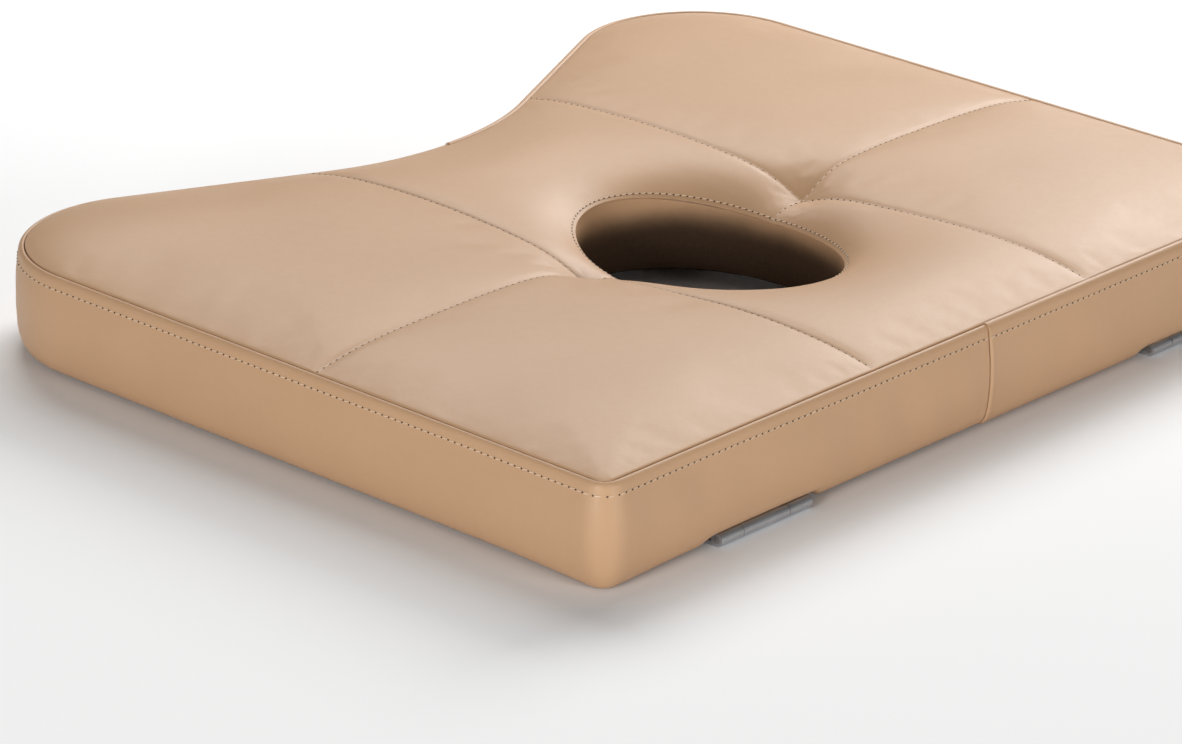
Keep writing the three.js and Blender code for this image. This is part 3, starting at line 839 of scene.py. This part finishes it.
def build_band(plan, side, material):
    """One half of the side band, from the rear centre to the notch centre."""
    track = Outline(plan).track
    columns, rows = 420, 54
    s = track.length * graded(columns, 0.85)
    at = track.at(s)
    away = track.outward(s)
    away[0], away[-1] = (0, -1), (0, 1)
    section = band_profile(rows)
    out = section[None, :, 0] * np.ones((columns + 1, 1))
    up = section[None, :, 1] * np.ones((columns + 1, 1))
    depth = np.clip(-up / BAND_HEIGHT, 0, 1)
    belly = np.sin(math.pi * depth) ** 1.2
    around = at[:, None, 0] * side + 0.7 * at[:, None, 1]
    slow = waves(around, up * 1.6, SLOW_SIZE, 11)
    quick = waves(around + up * 0.25, up * 0.5, QUICK_SIZE, 31)
    out = out + belly * (SLOW_WAVE * slow + QUICK_WAVE * quick)
    ends = np.minimum(s, track.length - s)[:, None]
    joined = 1.3 * MM * np.exp(-(ends / MM) ** 2) - 0.35 * MM * np.exp(-(ends / (5 * MM)) ** 2)
    out = out - np.clip(4 * depth, 0, 1) * joined
    curve = np.abs(np.gradient(np.unwrap(np.arctan2(away[:, 1], away[:, 0])), s))[:, None]
    tight = np.clip(curve * 0.09, 0, 1)
    gather = np.sin(s[:, None] * 2 * math.pi / GATHER_PITCH + 2 * waves(around, up, 90 * MM, 16))
    under_row = np.exp(-((-up - GATHER_DROP) / GATHER_REACH) ** 2)
    under_board = np.clip((-out - 2 * MM) / (14 * MM), 0, 1)
    out = out + tight * gather * GATHER_WAVE * under_row
    outline = Outline(plan)
    corner = np.exp(-((s - outline.corner_middle) / CORNER_SAG_REACH) ** 2)[:, None]
    out = out + belly * CORNER_SAG * 0.5 * corner
    up = up - CORNER_SAG * corner * np.clip(2.5 * depth - 1.5, 0, 1) * (1 - under_board)
    x = (at[:, None, 0] + away[:, None, 0] * out) * side
    y = at[:, None, 1] + away[:, None, 1] * out + REAR_Y
    z = SEAM_Z + up + under_board * (0.5 * MM * waves(around, out, 60 * MM, 20) * (z_room(out)))
    clear = DUST_LOW.z + 0.5 * MM
    lift = hinge_lift(x, y)
    z = np.where(z < clear, z + (clear - z) * lift, z)
    points = np.stack([x, y, z], -1)
    bm = bmesh.new()
    made = bmesh.ops.create_grid(bm, x_segments=columns, y_segments=rows, size=1)
    for vertex in made["verts"]:
        i = round((vertex.co.x + 1) / 2 * columns)
        j = round((vertex.co.y + 1) / 2 * rows)
        vertex.co = points[i, j]
    outwards = sum(f.normal.x * (f.calc_center_median().x) for f in bm.faces if abs(f.normal.x) > 0.8)
    if outwards < 0:
        bmesh.ops.reverse_faces(bm, faces=bm.faces[:])
    return object_from(bm, "side_band_" + ("right" if side > 0 else "left"), material)


def z_room(out):
    """Unevenness is kept off the flat return, where the board presses on it."""
    return np.clip(1 - (-out - 12 * MM) / (6 * MM), 0, 1)


class CUSHION_OT_side_bands(bpy.types.Operator):
    """Two halves of the side band, joined at the rear centre and at the notch"""

    bl_idname = "cushion.side_bands"
    bl_label = "Side bands"

    def execute(self, context):
        plan = context.scene.cushion_outline
        material = bpy.data.materials["camel_leatherette"]
        for side, name in ((1, "right"), (-1, "left")):
            piece = build_band(plan, side, material)
            finish_sheet(piece)
            settle(piece, "leatherette", "boxing_" + name)
        return {"FINISHED"}


# Lining of the hole: (outwards from the rim, share of the way from the rim down to the underside).
SLEEVE = [(0.9, 0.028), (0.5, 0.04), (0.25, 0.075), (0.15, 0.14), (0.25, 0.26), (0.7, 0.44),
          (1.1, 0.62), (1.0, 0.78), (0.5, 0.9), (0.8, 0.96), (2.4, 0.99), (6, 1), (12, 1), (19.5, 1)]


def build_sleeve(plan, padding, material):
    """Lining of the face hole, from under the folded rim to the flange under the board."""
    around, per_step = 220, 4
    section = np.array(SLEEVE) * (MM, 1)
    fine = np.linspace(0, len(section) - 1, (len(section) - 1) * per_step + 1)
    section = np.stack([np.interp(fine, np.arange(len(section)), section[:, k]) for k in (0, 1)], -1)
    bottom = SLEEVE_LOW.z
    bm = bmesh.new()
    made = bmesh.ops.create_grid(bm, x_segments=around, y_segments=len(section) - 1, size=1)
    for vertex in made["verts"]:
        turn = (vertex.co.x + 1) * math.pi
        out, down = section[round((vertex.co.y + 1) / 2 * (len(section) - 1))]
        ripple = 0.25 * MM * math.sin(9 * turn + 1.3) * min(1, max(0, 2 * down - 0.3))
        x = (plan.hole_width / 2 + out + ripple) * math.cos(turn)
        y = (plan.hole_length / 2 + out + ripple) * math.sin(turn)
        top = SEAM_Z - rim_depth(plan, padding, x, y + HOLE_Y)
        vertex.co = (x, REAR_Y + HOLE_Y + y, top + (bottom - top) * down)
    bmesh.ops.remove_doubles(bm, verts=bm.verts, dist=0.01 * MM)
    inwards = sum(f.normal.x * f.calc_center_median().x for f in bm.faces if abs(f.normal.x) > 0.8)
    if inwards > 0:
        bmesh.ops.reverse_faces(bm, faces=bm.faces[:])
    return object_from(bm, "face_hole_lining", material)


class CUSHION_OT_hole_lining(bpy.types.Operator):
    """Lining of the face hole"""

    bl_idname = "cushion.hole_lining"
    bl_label = "Face hole lining"

    def execute(self, context):
        scene = context.scene
        plan, padding, colours = scene.cushion_outline, scene.cushion_padding, scene.cushion_colours
        # The painted shade of the face hole begins below the lowest point of its rim.
        band_low = SEAM_Z - padding.rim - padding.rim_sides
        material = leatherette("leatherette_with_painted_hole_shade", colours.leather, colours.hole_shade_colour, band_low)
        piece = build_sleeve(plan, padding, material)
        finish_sheet(piece, 0.9 * MM)
        settle(piece, "leatherette", "face_hole_sleeve")
        return {"FINISHED"}


# ---- Stitches ------------------------------------------------------------------------------------
BATCH = 24  # stitches made together
ROW_REACH = 25 * MM  # the side band is felt for from this far outside the seam
# Painted shade of a needle hole: a flat dark spheroid with these sizes.
NEEDLE_HOLE_SHADE = (0.72 * MM, 0.66 * MM, 0.45 * MM)  # half length, half width and half depth
STITCH_SLANT = math.radians(9)
THREAD_LIFT = 0.12 * MM
HOLE_SHADE_LIFT = 0.06 * MM
ROW_END = 2 * MM  # a row of quilting stops this far from the ends of its line


def even(track, pitch, skip=0.0):
    """Middles of the stitches along a track, with directions."""
    count = max(1, round((track.length - 2 * skip) / pitch))
    s = skip + (np.arange(count) + 0.5) * (track.length - 2 * skip) / count
    ahead = track.at(s + 0.3 * pitch) - track.at(s - 0.3 * pitch)
    return track.at(s), ahead


def surface_point(tree, x, y):
    """Point and normal of the padded top at a plan position."""
    place, normal, _, _ = tree.ray_cast(Vector((x, y, 1)), Vector((0, 0, -1)))
    if place is None:
        raise RuntimeError("a stitch lies off the cover")
    return place, normal


def stitch_matrix(place, ahead, normal, slant):
    """Lays a stitch along ahead on the surface, turned by a slant."""
    ahead = (ahead - normal * ahead.dot(normal)).normalized()
    across = normal.cross(ahead)
    turned = Matrix((ahead, across, normal)).transposed()
    return Matrix.Translation(place) @ turned.to_4x4() @ Matrix.Rotation(slant, 4, "Z")


def sew(name, rows, sewing, thread_material, hole_shade_material):
    """Threads, and flat dark spheroids painting the shade of the needle holes, for rows of (place, ahead,
    normal, pitch).
    """
    threads, holes = bmesh.new(), bmesh.new()
    stitches = [stitch for row in rows for stitch in row]
    for start in range(0, len(stitches), BATCH):
        thread_batch, hole_shade_batch = bmesh.new(), bmesh.new()
        for place, ahead, normal, pitch in stitches[start:start + BATCH]:
            base = stitch_matrix(place + normal * THREAD_LIFT, ahead, normal, STITCH_SLANT)
            size = Matrix.Diagonal((0.4 * pitch, sewing.thread, sewing.thread * 0.85, 1))
            bmesh.ops.create_uvsphere(thread_batch, u_segments=8, v_segments=6, radius=1,
                                      matrix=base @ size @ Matrix.Rotation(math.pi / 2, 4, "Y"))
            # Painted shade: a flat dark spheroid half a pitch on stands in for the shade inside the needle
            # hole.
            flat = stitch_matrix(place + normal * HOLE_SHADE_LIFT, ahead, normal, 0)
            size = Matrix.Diagonal((*NEEDLE_HOLE_SHADE, 1))
            bmesh.ops.create_uvsphere(hole_shade_batch, u_segments=8, v_segments=4, radius=1,
                                      matrix=flat @ Matrix.Translation((pitch / 2, 0, 0)) @ size)
        append(threads, thread_batch)
        append(holes, hole_shade_batch)
    settle(object_from(threads, name + "_thread", thread_material), "stitch_thread")
    settle(object_from(holes, name + "_needle_holes", hole_shade_material), "leatherette")


def append(bm, more):
    """Adds one bmesh to another."""
    mesh = bpy.data.meshes.new("batch")
    more.to_mesh(mesh)
    more.free()
    bm.from_mesh(mesh)
    bpy.data.meshes.remove(mesh)


def plan_row(tree, points, pitch, skip=0.0):
    """Stitches along a plan curve, laid on the cover."""
    at, ahead = even(Track(points), pitch, skip)
    row = []
    for (x, y), step in zip(at, ahead):
        place, normal = surface_point(tree, x, y + REAR_Y)
        row.append((place, Vector((step[0], step[1], 0)), normal, pitch))
    return row


def band_row(tree, plan, side, drop, pitch):
    """Stitches along the side band, a distance below the top seam."""
    track = Outline(plan).track
    count = round(track.length / pitch)
    s = (np.arange(count) + 0.5) * track.length / count
    ahead = track.at(np.minimum(s + MM, track.length)) - track.at(np.maximum(s - MM, 0))
    row = []
    for (x, y), (nx, ny), (dx, dy) in zip(track.at(s), track.outward(s), ahead):
        outside = Vector(((x + nx * ROW_REACH) * side, y + ny * ROW_REACH + REAR_Y, SEAM_Z - drop))
        place, normal, _, _ = tree.ray_cast(outside, Vector((-nx * side, -ny, 0)), 2 * ROW_REACH)
        if place is None:
            raise RuntimeError("a stitch lies off the side band")
        row.append((place, Vector((dx * side, dy, 0)), normal, pitch))
    return row


class CUSHION_OT_stitches(bpy.types.Operator):
    """Topstitching of the band, the quilting and the rim of the hole"""

    bl_idname = "cushion.stitches"
    bl_label = "Stitches"

    def execute(self, context):
        scene = context.scene
        plan, sewing, colours = scene.cushion_outline, scene.cushion_sewing, scene.cushion_colours
        light = thread("sewing_thread", colours.thread)
        dark = needle_hole_shade("needle_hole_shade", colours.leather)
        graph = context.evaluated_depsgraph_get()
        tree = BVHTree.FromObject(bpy.data.objects["quilted_top_cover"], graph)
        for side, name in ((1, "right"), (-1, "left")):
            band = BVHTree.FromObject(bpy.data.objects["side_band_" + name], graph)
            sew("band_" + name, [band_row(band, plan, side, sewing.row, sewing.pitch)], sewing, light, dark)
        edge = Outline(plan)
        rows = []
        for side in (1, -1):
            x = plan.quilt * side
            front = edge.track.at(edge.at_slope(plan.quilt))[1]
            end = edge.track.at(edge.at_side(plan.cross))[0] * side
            rows.append(plan_row(tree, line((x, 0), (x, front)), sewing.pitch, ROW_END))
            rows.append(plan_row(tree, line((x, plan.cross), (end, plan.cross)), sewing.pitch, ROW_END))
            rim = (plan.hole_width / 2 + ROW_END) * side
            rows.append(plan_row(tree, line((rim, plan.cross), (x, plan.cross)), sewing.pitch, MM))
        sew("quilting", rows, sewing, light, dark)
        turn = np.linspace(0, 2 * math.pi, 400)
        rim = np.stack([(plan.hole_width / 2 + sewing.rim_row) * np.cos(turn),
                        HOLE_Y + (plan.hole_length / 2 + sewing.rim_row) * np.sin(turn)], -1)
        sew("hole_rim", [plan_row(tree, rim, sewing.rim_pitch)], sewing, light, dark)
        return {"FINISHED"}


# ---- Padding and underside -----------------------------------------------------------------------
HOLE_ROOM = 2.2 * MM  # the layers stop this far outside the rim of the hole
WADDING = 5 * MM
WADDING_DROP = 2.4 * MM  # from the cover's face down to the wadding
LAYER_INSET = 2.2 * MM


def padded_layer(plan, padding, name, material, inset, top_drop, bottom):
    """A layer that follows the padded top; bottom gives its underside from the height of its top."""
    bm = plan_sheet(plan, out=-inset, hole_out=HOLE_ROOM, fine=0.45)
    x = np.array([v.co.x for v in bm.verts])
    y = np.array([v.co.y for v in bm.verts]) - REAR_Y
    upper = SEAM_Z + top_heights(plan, padding, x, y) - top_drop
    made = bmesh.ops.extrude_face_region(bm, geom=bm.faces[:])
    raised = {g for g in made["geom"] if isinstance(g, bmesh.types.BMVert)}
    place = {(round(a * 1e6), round((b + REAR_Y) * 1e6)): h for a, b, h in zip(x, y, upper)}
    for vertex in bm.verts:
        height = place[(round(vertex.co.x * 1e6), round(vertex.co.y * 1e6))]
        vertex.co.z = height if vertex in raised else bottom(height)
    bmesh.ops.recalc_face_normals(bm, faces=bm.faces[:])
    return object_from(bm, name, material)


# Section of the foam round the edge of the board: (outwards from the seam, height above the deck).
EDGE_FOAM = [(-8.7, 29.2), (-5.5, 29.3), (-2.6, 29.2), (-0.6, 22), (0.6, 15), (-0.8, 8.6),
             (-3.6, 6.2), (-7, 7.4), (-8.7, 11), (-8.7, 20), (-8.7, 29.2)]


def build_edge_foam(plan, material):
    """A soft strip all round the board, thinned over the hinges."""
    track = Outline(plan).track
    columns, per_step = 260, 3
    s = np.linspace(0, track.length, columns + 1)
    at, away = track.at(s), track.outward(s)
    away[0], away[-1] = (0, -1), (0, 1)
    section = np.array(EDGE_FOAM) * MM
    fine = np.linspace(0, len(section) - 1, (len(section) - 1) * per_step + 1)
    section = np.stack([np.interp(fine, np.arange(len(section)), section[:, k]) for k in (0, 1)], -1)
    clear = DUST_LOW.z + 0.5 * MM
    bm = bmesh.new()
    for side in (1, -1):
        made = bmesh.ops.create_grid(bm, x_segments=columns, y_segments=len(section) - 1, size=1)
        for vertex in made["verts"]:
            i = round((vertex.co.x + 1) / 2 * columns)
            out, z = section[round((vertex.co.y + 1) / 2 * (len(section) - 1))]
            x = (at[i][0] + away[i][0] * out) * side
            y = at[i][1] + away[i][1] * out + REAR_Y
            vertex.co = (x, y, z + max(clear - z, 0) * hinge_lift(x, y))
    bmesh.ops.remove_doubles(bm, verts=bm.verts, dist=0.01 * MM)
    bmesh.ops.recalc_face_normals(bm, faces=bm.faces[:])
    return object_from(bm, "edge_foam_strip", material)


STAPLE = (5 * MM, 0.45 * MM, 0.25 * MM)  # half length, half width and half thickness
STAPLE_PITCH = 38 * MM
STAPLE_ROUNDING = 0.15 * MM
HEM = 5 * MM  # staples, in from the edge of the dust cover


def staple_places(plan, inset):
    """Where staples go: along a line inside the outline, clear of the hinges."""
    track = Outline(plan, -inset).track
    at, ahead = even(track, STAPLE_PITCH, STAPLE_PITCH / 2)
    for side in (1, -1):
        for (x, y), (dx, dy) in zip(at, ahead):
            if hinge_lift(x * side, y + REAR_Y) < 0.01:
                yield Vector((x * side, y + REAR_Y, 0)), math.atan2(dy, dx * side)


def build_dust_cover(plan, inset, material):
    """Thin sheet under the board, drawn up at its staples and slack between them."""
    bm = plan_sheet(plan, out=-inset, hole_out=4.5 * MM, fine=0.45)
    flat_area = sum(face.calc_area() for face in bm.faces)
    flat = (DUST_HIGH.x - DUST_LOW.x, DUST_HIGH.y - DUST_LOW.y)
    x = np.array([v.co.x for v in bm.verts])
    y = np.array([v.co.y for v in bm.verts])
    edge = edge_distance(np.abs(x), y - REAR_Y, Outline(plan, -inset).track.points[::2])
    slack = 0.32 * MM * waves(x, y, 70 * MM, 41) + 0.10 * MM * waves(x, y, 24 * MM, 42)
    middle = (DUST_LOW.z + DUST_HIGH.z) / 2 + 0.1 * MM
    z = middle + np.clip(slack * np.clip(edge / (30 * MM), 0.25, 1), -0.25 * MM, 0.3 * MM)
    for vertex, height in zip(bm.verts, z):
        vertex.co.z = height
    bmesh.ops.reverse_faces(bm, faces=bm.faces[:])
    return object_from(bm, "dust_cover_sheet", material), flat, flat_area


class CUSHION_OT_underside(bpy.types.Operator):
    """Dust cover and its staples"""

    bl_idname = "cushion.underside"
    bl_label = "Underside"

    def execute(self, context):
        plan = context.scene.cushion_outline
        inset = COVER_HIGH.x - DUST_HIGH.x
        black = fibres("black_non_woven", record_colour("non_woven"))
        sheet, flat, area = build_dust_cover(plan, inset, black)
        finish_sheet(sheet, 0.3 * MM)
        settle(sheet, "non_woven", "dust_cover")
        bm = bmesh.new()
        for place, turn in staple_places(plan, inset + HEM):
            place.z = DUST_LOW.z - 0.05 * MM
            size = Matrix.Diagonal((*[2 * half for half in STAPLE], 1))
            turned = Matrix.Translation(place) @ Matrix.Rotation(turn, 4, "Z")
            bmesh.ops.create_cube(bm, size=1, matrix=turned @ size)
        bmesh.ops.bevel(bm, geom=bm.edges[:], offset=STAPLE_ROUNDING, segments=2, profile=0.5,
                        affect="EDGES", material=-1)
        wire = steel("staple_steel", record_colour("staple_steel"))
        settle(object_from(bm, "dust_cover_staples", wire), "staple_steel")
        return {"FINISHED"}


def flat_layer(plan, name, material, inset, low, high):
    """A foam layer that is flat above and below."""
    bm = plan_sheet(plan, out=-inset, hole_out=HOLE_ROOM, fine=0.3)
    made = bmesh.ops.extrude_face_region(bm, geom=bm.faces[:])
    raised = {g for g in made["geom"] if isinstance(g, bmesh.types.BMVert)}
    for vertex in bm.verts:
        vertex.co.z = high if vertex in raised else low
    bmesh.ops.recalc_face_normals(bm, faces=bm.faces[:])
    return object_from(bm, name, material, smooth=False)


class CUSHION_OT_padding(bpy.types.Operator):
    """Wadding and foams under the cover"""

    bl_idname = "cushion.padding"
    bl_label = "Padding"

    def execute(self, context):
        plan, padding = context.scene.cushion_outline, context.scene.cushion_padding
        topper_drop = WADDING_DROP + WADDING + GAP
        white = fibres("white_wadding", record_colour("wadding"))
        soft = foam("soft_foam", record_colour("soft_foam"))
        firm = foam("firm_foam", record_colour("firm_foam"), 520)
        layers = [
            padded_layer(plan, padding, "quilt_wadding_layer", white, LAYER_INSET, WADDING_DROP,
                         lambda h: h - WADDING),
            padded_layer(plan, padding, "soft_foam_layer", soft, LAYER_INSET, topper_drop,
                         lambda h: TOPPER_LOW.z),
            flat_layer(plan, "firm_foam_layer", firm, LAYER_INSET, CORE_LOW.z, CORE_HIGH.z),
            build_edge_foam(plan, firm),
        ]
        slots = [("wadding", "quilt_wadding"), ("soft_foam", "soft_foam_topper"),
                 ("firm_foam", "firm_foam_core"), ("firm_foam", "edge_foam_band")]
        for piece, (slot, node) in zip(layers, slots):
            settle(piece, slot, node)
        return {"FINISHED"}


class CUSHION_OT_hardware(bpy.types.Operator):
    """Finishes of the board, the hinges, the fasteners and the pads"""

    bl_idname = "cushion.hardware"
    bl_label = "Board and hardware"

    def execute(self, context):
        made = {
            "plywood": plywood("birch_plywood", record_colour("plywood")),
            "zinc_steel": steel("zinc_steel", record_colour("zinc_steel")),
            "pin_steel": steel("pin_steel", record_colour("pin_steel"), 0.2),
            "fastener_steel": steel("fastener_steel", record_colour("fastener_steel"), 0.28),
            "rubber_pad": rubber("pad_rubber", record_colour("rubber_pad")),
        }
        for row in frame["record"]["subparts"]:
            node = frame["nodes"][row["node"]]
            if not node.hide_render and row["material_slot"] in made:
                node.data.materials.clear()
                node.data.materials.append(made[row["material_slot"]])
        return {"FINISHED"}


# ---- Stage ---------------------------------------------------------------------------------------
def look_from(place, yaw, pitch, roll):
    """Camera matrix from its place and its turn from +Y towards +X, down and round."""
    forward = Vector((math.sin(yaw) * math.cos(pitch), math.cos(yaw) * math.cos(pitch), -math.sin(pitch)))
    right = Vector((math.cos(yaw), -math.sin(yaw), 0))
    up = right.cross(forward)
    turned_right = right * math.cos(roll) + up * math.sin(roll)
    turned_up = up * math.cos(roll) - right * math.sin(roll)
    return Matrix.Translation(place) @ Matrix((turned_right, turned_up, -forward)).transposed().to_4x4()


LIGHTS = [  # name, place, size, power
    ("back_right", (2.8, 0.7, 1.8), 1.8, 92),
    ("back", (1.5, 1.9, 2.6), 2.2, 70),
    ("fill_side", (-2.7, -0.7, 0.62), 1.1, 40),
    ("fill_rear", (-0.3, -3.0, 0.62), 1.1, 34),
]
AIM = Vector((0, 0, 50 * MM))
WORLD = 0.10
FLOOR_HALF = 20  # half the width of the floor
LENS = 166.7  # mm
CAMERA_PLACE = Vector((-2.726, -2.144 + REAR_Y, 1.387 + SEAM_Z))
CAMERA_TURN = [math.radians(turn) for turn in (47.40, 22.41, 0.69)]  # towards +X, down and round


def area_light(name, place, size, power):
    """A round soft light that shines on the cushion."""
    lamp = bpy.data.lights.new(name, "AREA")
    lamp.shape = "DISK"
    lamp.size = size
    lamp.energy = power
    lamp_object = bpy.data.objects.new(name, lamp)
    bpy.context.scene.collection.objects.link(lamp_object)
    lamp_object.location = place
    lamp_object.rotation_euler = (AIM - Vector(place)).to_track_quat("-Z", "Y").to_euler()


class CUSHION_OT_stage(bpy.types.Operator):
    """Pale floor, soft light and camera"""

    bl_idname = "cushion.stage"
    bl_label = "Stage"

    def execute(self, context):
        scene = context.scene
        bm = bmesh.new()
        bmesh.ops.create_grid(bm, x_segments=8, y_segments=8, size=FLOOR_HALF)
        floor = object_from(bm, "floor", painted_floor("pale_floor", scene.cushion_colours.floor))
        lens = bpy.data.cameras.new("camera")
        lens.lens = LENS
        lens.clip_end = 10 * FLOOR_HALF
        camera = bpy.data.objects.new("camera", lens)
        scene.collection.objects.link(camera)
        camera.matrix_world = look_from(CAMERA_PLACE, *CAMERA_TURN)
        scene.camera = camera
        world = bpy.data.worlds.new("studio")
        scene.world = world
        world.use_nodes = True
        background = world.node_tree.nodes["Background"]
        background.inputs["Color"].default_value = (1, 1, 1, 1)
        background.inputs["Strength"].default_value = WORLD
        for name, place, size, power in LIGHTS:
            area_light(name, place, size, power)
        scene.view_settings.view_transform = "Standard"
        return {"FINISHED"}


class CUSHION_PT_panel(bpy.types.Panel):
    """The cushion's pieces and sizes"""

    bl_idname = "CUSHION_PT_panel"
    bl_label = "Head cushion"
    bl_space_type = "VIEW_3D"
    bl_region_type = "UI"
    bl_category = "Cushion"

    def draw(self, context):
        for operator in OPERATORS:
            self.layout.operator(operator.bl_idname)
        for group in SETTINGS:
            box = self.layout.box()
            box.label(text=group.__doc__)
            for name in group.__annotations__:
                box.prop(getattr(context.scene, SETTINGS[group]), name)


SETTINGS = {
    CushionOutline: "cushion_outline",
    CushionPadding: "cushion_padding",
    CushionSewing: "cushion_sewing",
    CushionColours: "cushion_colours",
}
OPERATORS = [
    CUSHION_OT_stage,
    CUSHION_OT_top_cover,
    CUSHION_OT_side_bands,
    CUSHION_OT_hole_lining,
    CUSHION_OT_stitches,
    CUSHION_OT_padding,
    CUSHION_OT_underside,
    CUSHION_OT_hardware,
]


def register():
    for cls in (*SETTINGS, *OPERATORS, CUSHION_PT_panel):
        bpy.utils.register_class(cls)
    for group, name in SETTINGS.items():
        setattr(bpy.types.Scene, name, PointerProperty(type=group))


def unregister():
    for name in SETTINGS.values():
        delattr(bpy.types.Scene, name)
    for cls in reversed((*SETTINGS, *OPERATORS, CUSHION_PT_panel)):
        bpy.utils.unregister_class(cls)


def main():
    register()
    for operator in OPERATORS:
        area, name = operator.bl_idname.split(".")
        getattr(getattr(bpy.ops, area), name)()


if __name__ == "__main__":
    main()
